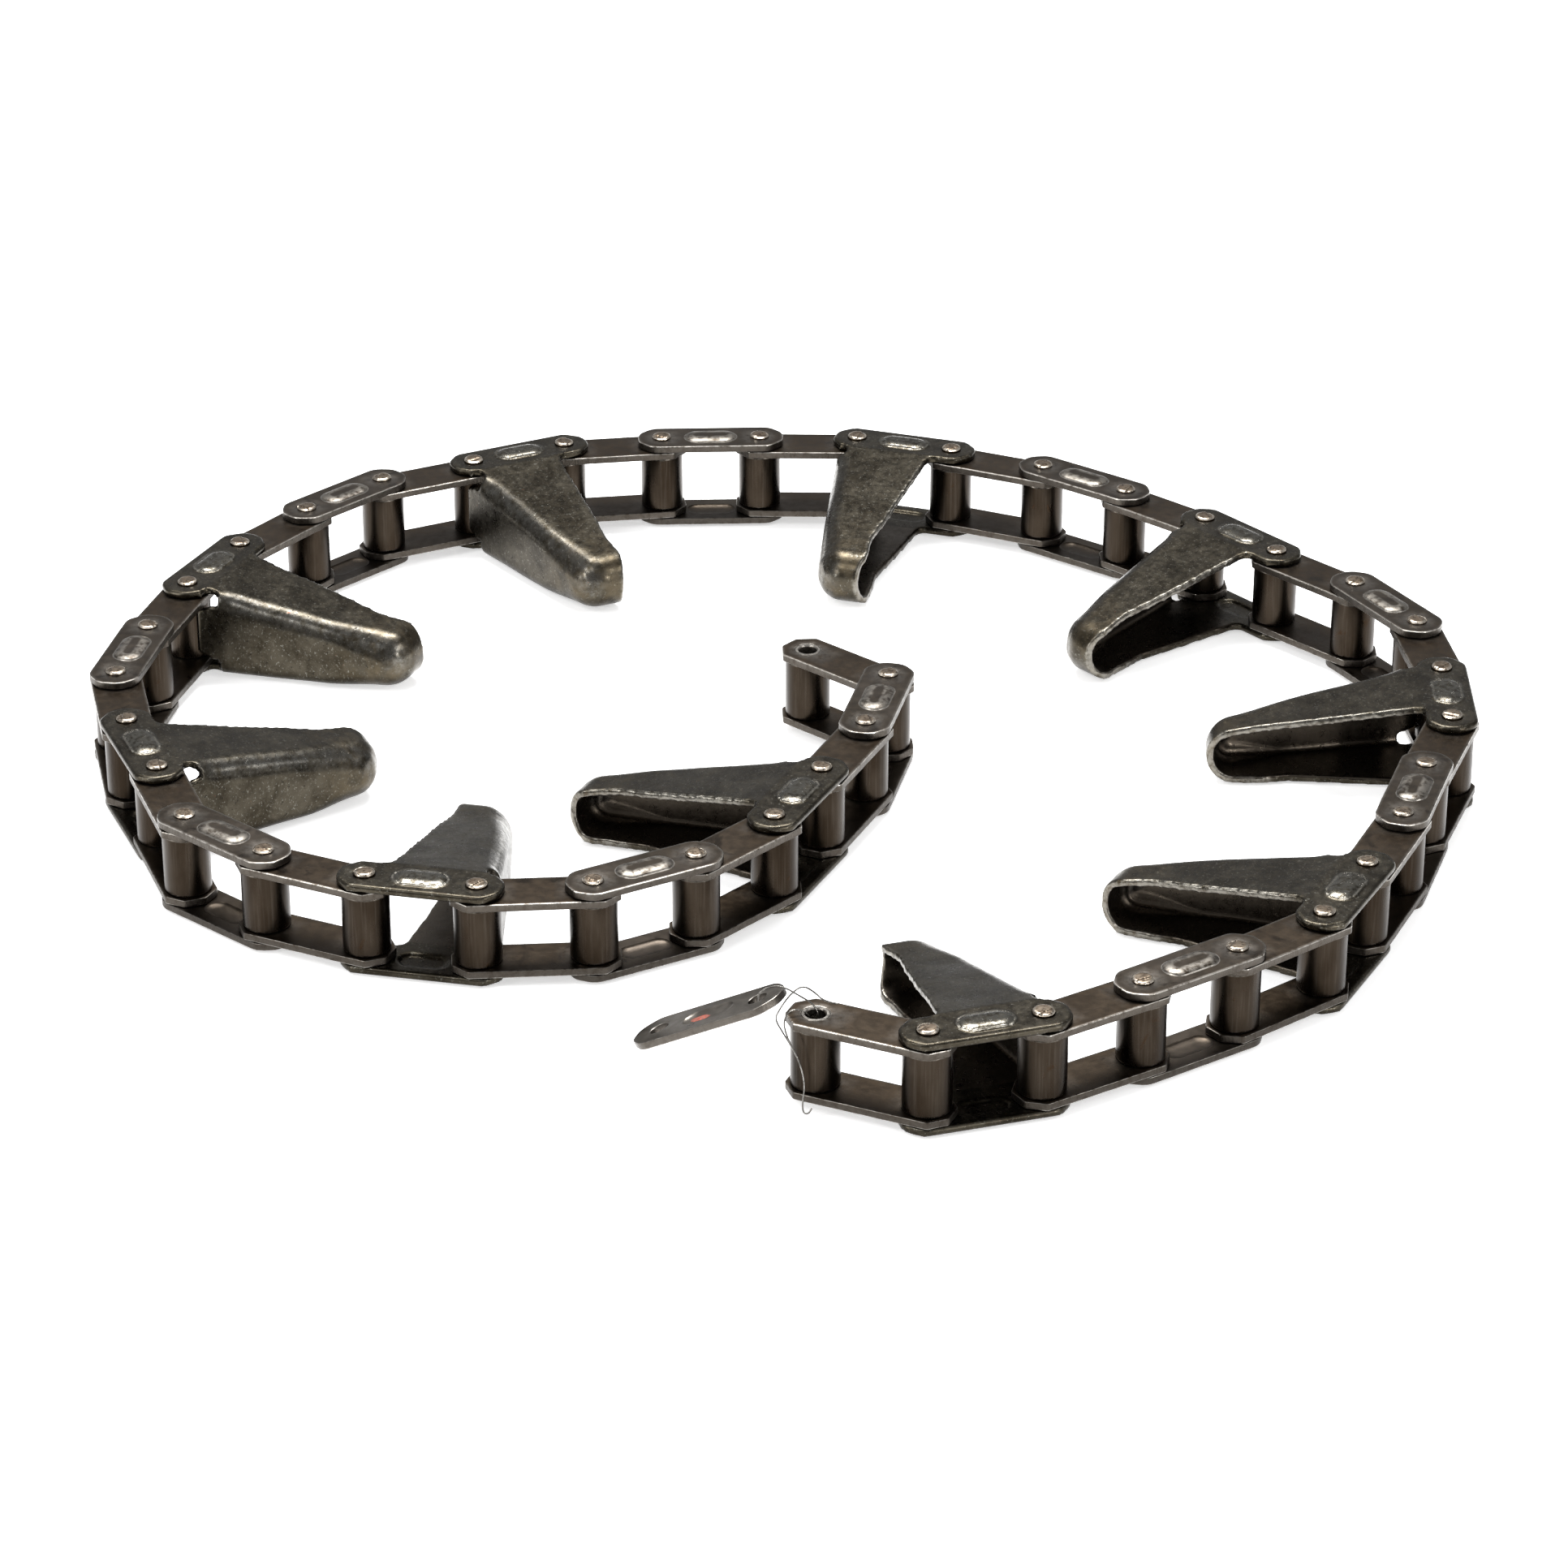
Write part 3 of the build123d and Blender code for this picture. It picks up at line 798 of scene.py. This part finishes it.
def inner_link(number):
    """Plates, bushes and rollers. A whole link is one CAD node, and the others are broken out."""
    place = link_place(number)
    body = f"link_{number:02d}"
    whole = number not in (1, LINKS)
    node = f"{body}_inner"
    plate_slot = "inner_link_steel" if whole else "plate_steel"
    bush_slot = "inner_link_steel" if whole else "bush_steel"
    variant = number % VARIANTS
    tops, lows = inner_tops[variant], inner_lows[variant]
    top_node = node if whole else f"{body}_top_plate"
    low_node = node if whole else f"{body}_bottom_plate"
    top_at = place @ at(0, 0, INNER_CEILING)
    low_at = place @ at(0, 0, INNER_FLOOR)
    piece(f"{body}_plate_top", tops, "inner_plate", top_at, body, [top_node], plate_slot)
    piece(f"{body}_plate_bottom", lows, "inner_plate", low_at, body, [low_node], plate_slot)
    for letter, x in (("a", 0), ("b", PITCH)):
        bush_node = node if whole else f"{body}_bush_{letter}"
        bush_at = place @ at(x, 0, 0)
        piece(f"{body}_bushing_{letter}", bush_body, "bush", bush_at, body, [bush_node], bush_slot)
        own = f"{body}_roller_{letter}"
        spins = own in frame["bodies"]
        spin = rng.uniform(0, 2 * math.pi)
        piece(
            f"{body}_drum_{letter}", roller_body, "roller", place @ at(x, 0, 0, spin),
            own if spins else body, [own if spins else node],
            "roller_steel" if spins else "inner_link_steel",
        )


def link_pins(number, node, slot):
    """The two pins of an outer or finger link, each its own CAD node where the link is broken out."""
    place = link_place(number)
    body = f"link_{number:02d}"
    for letter, x in (("a", 0), ("b", PITCH)):
        own = f"{body}_pin_{letter}"
        broken_out = own in frame["nodes"]
        mesh = pin_bodies[rng.randrange(len(pin_bodies))]
        spin = rng.uniform(0, 2 * math.pi)
        piece(
            f"{body}_rivet_{letter}", mesh, "pin", place @ at(x, 0, 0, spin), body,
            [own if broken_out else node], "pin_steel" if broken_out else slot,
        )


def plain_link(number):
    place = link_place(number)
    body = f"link_{number:02d}"
    whole = number != 2
    node = f"{body}_plain"
    slot = "outer_link_steel" if whole else "plate_steel"
    variant = number // 4 % VARIANTS
    top_node = node if whole else f"{body}_top_plate"
    low_node = node if whole else f"{body}_bottom_plate"
    top_at = place @ at(0, 0, OUTER_CEILING)
    piece(f"{body}_plate_top", outer_tops[variant], "outer_plate", top_at, body, [top_node], slot)
    low_at = place @ at(0, 0, OUTER_BOTTOM + PLATE_T)
    piece(f"{body}_plate_bottom", outer_lows[variant], "outer_plate", low_at, body, [low_node], slot)
    link_pins(number, node, "outer_link_steel")


def finger_link(number):
    place = link_place(number)
    body = f"link_{number:02d}"
    node = f"{body}_finger"
    mesh = finger_bodies[number // 4 % len(finger_bodies)]
    piece(f"{body}_pressing", mesh, "finger", place, body, [node], "finger_link_steel")
    link_pins(number, node, "finger_link_steel")


for number in range(1, LINKS + 1):
    if number % 2:
        inner_link(number)
    elif number % 4:
        plain_link(number)
    else:
        finger_link(number)

# --- spare side plate and its wire: offsets from the foot of the last pin's axis, in millimetres ---
SPARE_HEADING = math.radians(-21.6)
SPARE_RISE = math.radians(28.2)
SPARE_NEAR_HOLE = Vector((-20.3, 7.6, 36.6)) * MM
TIE_STRAND = [
    (-1.4, -12.7, 4.2), (-2.2, -12.9, 2.2), (-4.2, -12.9, 2.2), (-4.7, -12.6, 5.8),
    (-3.6, -12.2, 13.6), (-5.6, -11.6, 22.6), (-9.8, -8.2, 29.6), (-11.4, -4.4, 34.4),
    (-8.6, -1.4, 37.4), (-4.0, -0.4, 36.4), (-1.7, 0.2, 32.8), (-1.3, 0.5, 29.4),
    (1.3, 0.7, 29.4), (1.2, 0.9, 33.0), (-0.4, 1.8, 37.4), (-5.2, 3.6, 39.6),
    (-12.0, 5.4, 43.0), (-17.8, 7.0, 41.2), (-20.6, 7.9, 36.8), (-19.6, 8.0, 32.0),
]
LOOP_STRAND = [
    (-6.6, 10.8, 10.6), (-8.4, 9.8, 16.0), (-11.4, 8.0, 22.6), (-14.2, 6.6, 28.8),
    (-12.6, 4.0, 34.0), (-9.0, 3.6, 40.2), (-4.6, 2.8, 44.6), (-0.2, 1.8, 42.2),
    (2.8, 1.2, 39.0), (7.6, 0.4, 38.4),
]
WIRE_R = 0.3
end_pin = pins[-1]


def spare_place():
    """The spare plate's frame, from where the wire holds its near hole."""
    tilt = Matrix.Rotation(SPARE_HEADING, 4, "Z") @ Matrix.Rotation(-SPARE_RISE, 4, "Y")
    far_hole = end_pin + SPARE_NEAR_HOLE - (tilt @ Vector((PITCH * MM, 0, 0)))
    return Matrix.Translation(far_hole) @ tilt


def wire(name, offsets):
    """One strand of the tie wire, smooth through its offsets."""
    curve = bpy.data.curves.new(name, "CURVE")
    curve.dimensions = "3D"
    curve.bevel_depth = WIRE_R * MM
    curve.bevel_resolution = 3
    curve.use_fill_caps = True
    spline = curve.splines.new("NURBS")
    spline.points.add(len(offsets) - 1)
    for point, offset in zip(spline.points, offsets):
        point.co = (*(end_pin + Vector(offset) * MM), 1)
    spline.order_u = 3
    spline.use_endpoint_u = True
    spline.resolution_u = 8
    curve.materials.append(MATERIALS["wire"])
    item = bpy.data.objects.new(name, curve)
    bpy.context.scene.collection.objects.link(item)
    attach(item, "link_41")
    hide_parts("tie_wire")


def paint_mesh():
    """Irregular daub lying in the recess of the spare plate."""
    rings, sides = 5, 40
    middle_x, middle_y = PITCH / 2 - 4.2, 0.2
    half_length, half_width = 4.4, 2.1
    points = [(middle_x, middle_y)]
    for row in range(1, rings + 1):
        share = row / rings
        for k in range(sides):
            angle = 2 * math.pi * k / sides
            wave = 1 + 0.28 * noise.noise(Vector((math.cos(angle) * 1.6, math.sin(angle) * 1.6, 4.4)))
            x = middle_x + half_length * share * wave * math.cos(angle)
            y = middle_y + half_width * share * wave * math.sin(angle)
            points.append((x, y))
    placed = []
    for i, (x, y) in enumerate(points):
        share = 0 if i == 0 else ((i - 1) // sides + 1) / rings
        film = 0.16 * (1 - share ** 4) - 0.03
        recess = pad_height(x, y, PAD_RECESS_INSET, PAD_RECESS_DEPTH)
        placed.append((x, y, film - recess))
    faces = [(0, 1 + k, 1 + (k + 1) % sides) for k in range(sides)]
    for row in range(rings - 1):
        for k in range(sides):
            n = (k + 1) % sides
            a, b = 1 + row * sides, 1 + (row + 1) * sides
            faces.append((a + k, b + k, b + n, a + n))
    return mesh_from("paint_daub", placed, faces, {}, 80)


spare_at = spare_place()
spare_turned = mirrored(spare_mesh, "spare_plate_turned")
piece("spare_side_link_plate", spare_turned, "spare_plate", spare_at, "link_41",
      ["spare_side_plate"], "spare_plate_steel")
daub = bpy.data.objects.new("spare_paint_daub", paint_mesh())
bpy.context.scene.collection.objects.link(daub)
daub.data.materials.append(MATERIALS["paint"])
daub.matrix_world = spare_at
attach(daub, "link_41")
wire("tie_wire_long", TIE_STRAND)
wire("tie_wire_loop", LOOP_STRAND)


# --- floor, light and camera ---
def floor():
    mesh = bpy.data.meshes.new("floor")
    reach = 6.0
    mesh.from_pydata([(-reach, -reach, 0), (reach, -reach, 0), (reach, reach, 0), (-reach, reach, 0)],
                     [], [(0, 1, 2, 3)])
    item = bpy.data.objects.new("floor", mesh)
    bpy.context.scene.collection.objects.link(item)
    s = Shader("floor_white")
    tone = s.mix(s.ramp(s.noise(400, 2, 0.5), 0.3, 0.7), (0.90, 0.90, 0.90), (0.92, 0.92, 0.92))
    mesh.materials.append(s.finish(tone, s.ramp(s.noise(300, 2, 0.5), 0.3, 0.7, 0.85, 0.9), 0.0))
    s.surface.inputs["Specular IOR Level"].default_value = 0.1
    s.surface.inputs["Emission Color"].default_value = (1, 1, 1, 1)
    s.surface.inputs["Emission Strength"].default_value = 0.55


def area_light(name, spot, size, power):
    """Rectangular light that faces the middle of the floor."""
    light = bpy.data.lights.new(name, "AREA")
    light.shape = "RECTANGLE"
    light.size, light.size_y = size
    light.energy = power
    item = bpy.data.objects.new(name, light)
    bpy.context.scene.collection.objects.link(item)
    item.location = spot
    item.rotation_euler = (-Vector(spot)).to_track_quat("-Z", "Y").to_euler()


def camera():
    """The photo's viewpoint: aim is the point of the scene in the middle of the picture."""
    elevation = math.radians(27.52)
    azimuth = math.radians(0.05)
    distance = 1.930
    aim = Vector((0.0018, -0.0727, CHAIN_HEIGHT * MM))
    forward = Vector((
        math.sin(azimuth) * math.cos(elevation),
        math.cos(azimuth) * math.cos(elevation),
        -math.sin(elevation),
    ))
    data = bpy.data.cameras.new("camera")
    data.sensor_width = 36
    data.lens = 118.7
    data.clip_end = 50
    item = bpy.data.objects.new("camera", data)
    bpy.context.scene.collection.objects.link(item)
    item.location = aim - forward * distance
    item.rotation_euler = forward.to_track_quat("-Z", "Y").to_euler()
    bpy.context.scene.camera = item


floor()
area_light("overhead", (-0.1, 0.60, 1.65), (1.1, 0.6), 56)
area_light("key", (-1.1, -0.9, 1.5), (0.8, 0.6), 12)
area_light("fill", (1.3, -0.7, 1.2), (0.5, 0.5), 6)
area_light("strip_right", (1.3, -1.5, 0.42), (0.12, 0.7), 13)
area_light("strip_left", (-1.5, -0.9, 0.42), (0.12, 0.7), 10)
world = bpy.data.worlds.new("studio")
world.use_nodes = True
world.node_tree.nodes["Background"].inputs["Color"].default_value = (1, 1, 1, 1)
world.node_tree.nodes["Background"].inputs["Strength"].default_value = 0.41
bpy.context.scene.world = world
bpy.context.scene.view_settings.view_transform = "Standard"
camera()
